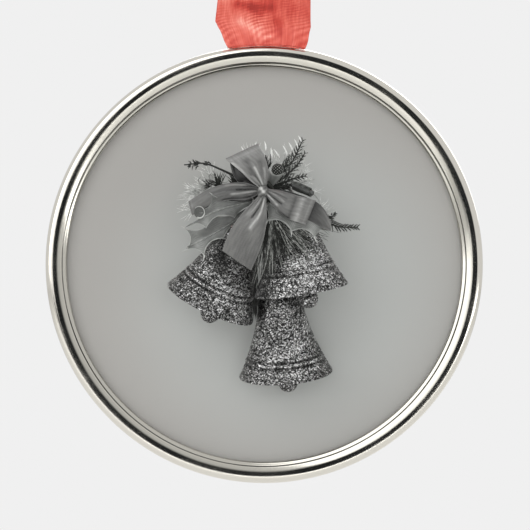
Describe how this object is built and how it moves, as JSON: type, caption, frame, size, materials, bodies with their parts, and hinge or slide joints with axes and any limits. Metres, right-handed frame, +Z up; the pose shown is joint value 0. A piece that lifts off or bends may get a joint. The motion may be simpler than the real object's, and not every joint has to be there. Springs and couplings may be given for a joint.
{
  "type": "christmas bell ornament",
  "caption": "Round polished metal medallion on a satin ribbon loop, with glittered bells, a bow, holly and evergreen sprigs on its face",
  "frame": {"origin": "the point under the ribbon knot where a hook carries the loop", "axes": "+Z up along the ribbon, the face looks along -Y, +X to the right of a viewer facing it"},
  "size_m": [0.076, 0.0382, 0.1541],
  "materials": {
    "coral_satin": "satin, woven",
    "polished_silver": "polished",
    "grey_satin_lacquer": "satin",
    "grey_card": "matt card",
    "silver_glitter": "glitter coat",
    "floral_tape": "matt",
    "grey_satin_bow": "satin, woven",
    "holly_leaf": "satin gloss",
    "frosted_needles": "frosted",
    "dark_needles": "matt",
    "steel_wire": "drawn wire"
  },
  "bodies": {
    "ribbon": {"hanging_ribbon": "coral_satin", "ribbon_knot": "coral_satin", "ribbon_tail_front": "coral_satin", "ribbon_tail_rear": "coral_satin"},
    "medallion": {"back_cover": "polished_silver", "backing_card": "grey_card", "bezel_ring": "polished_silver", "bow_front_tail": "grey_satin_bow", "bow_knot": "grey_satin_bow", "bow_left_loop": "grey_satin_bow", "bow_right_loop": "grey_satin_bow", "bow_right_tail": "grey_satin_bow", "bow_upper_loop": "grey_satin_bow", "bract_cup": "holly_leaf", "cedar_right": "dark_needles", "cedar_upper_right": "dark_needles", "face_plate": "grey_satin_lacquer", "fern_left": "dark_needles", "front_needles": "dark_needles", "front_tape": "floral_tape", "frosted_needles_left": "frosted_needles", "frosted_needles_right": "frosted_needles", "frosted_needles_top": "frosted_needles", "hanger_lug": "polished_silver", "holly_leaf_left": "holly_leaf", "holly_leaf_lower": "holly_leaf", "holly_leaf_right": "holly_leaf", "left_hanger": "steel_wire", "lower_hanger": "steel_wire", "middle_tape": "floral_tape", "mounting_post": "steel_wire", "post_washer": "steel_wire", "rear_tape": "floral_tape", "right_hanger": "steel_wire", "rolled_bract": "holly_leaf", "seed_cone": "dark_needles", "twig_left": "dark_needles", "twig_top": "dark_needles"},
    "left_bell": {"left_bell_crown_eye": "steel_wire", "left_bell_shell": "silver_glitter"},
    "left_clapper": {"left_bell_clapper_ball": "silver_glitter", "left_bell_clapper_wire": "steel_wire"},
    "right_bell": {"right_bell_crown_eye": "steel_wire", "right_bell_shell": "silver_glitter"},
    "right_clapper": {"right_bell_clapper_ball": "silver_glitter", "right_bell_clapper_wire": "steel_wire"},
    "lower_bell": {"lower_bell_crown_eye": "steel_wire", "lower_bell_shell": "silver_glitter"},
    "lower_clapper": {"lower_bell_clapper_ball": "silver_glitter", "lower_bell_clapper_wire": "steel_wire"}
  },
  "joints": [
    {"name": "medallion_swing", "type": "hinge", "parent": "ribbon", "child": "medallion", "pos_m": [0, 0, -0.056], "axis": [1, 0, 0], "range_deg": [-60, 60]},
    {"name": "left_bell_swing", "type": "hinge", "parent": "medallion", "child": "left_bell", "pos_m": [-0.00224, -0.01699, -0.0873], "axis": [0, 1, 0], "range_deg": [0, 20]},
    {"name": "left_clapper_swing", "type": "hinge", "parent": "left_bell", "child": "left_clapper", "pos_m": [-0.00426, -0.01592, -0.09158], "axis": [0.0936, 0.9755, 0.1989], "range_deg": [-20, 22]},
    {"name": "right_bell_swing", "type": "hinge", "parent": "medallion", "child": "right_bell", "pos_m": [0.0037, -0.02313, -0.08335], "axis": [0, 1, 0], "range_deg": [-15, 0]},
    {"name": "right_clapper_swing", "type": "hinge", "parent": "right_bell", "child": "right_clapper", "pos_m": [0.00445, -0.02263, -0.08811], "axis": [-0.0164, 0.9945, 0.1032], "range_deg": [-20, 22]},
    {"name": "lower_bell_swing", "type": "hinge", "parent": "medallion", "child": "lower_bell", "pos_m": [0.00243, -0.0121, -0.09795], "axis": [0, 1, 0], "range_deg": [-10, 5]},
    {"name": "lower_clapper_swing", "type": "hinge", "parent": "lower_bell", "child": "lower_clapper", "pos_m": [0.00281, -0.01101, -0.10266], "axis": [-0.018, 0.9744, 0.2242], "range_deg": [-20, 22]}
  ]
}
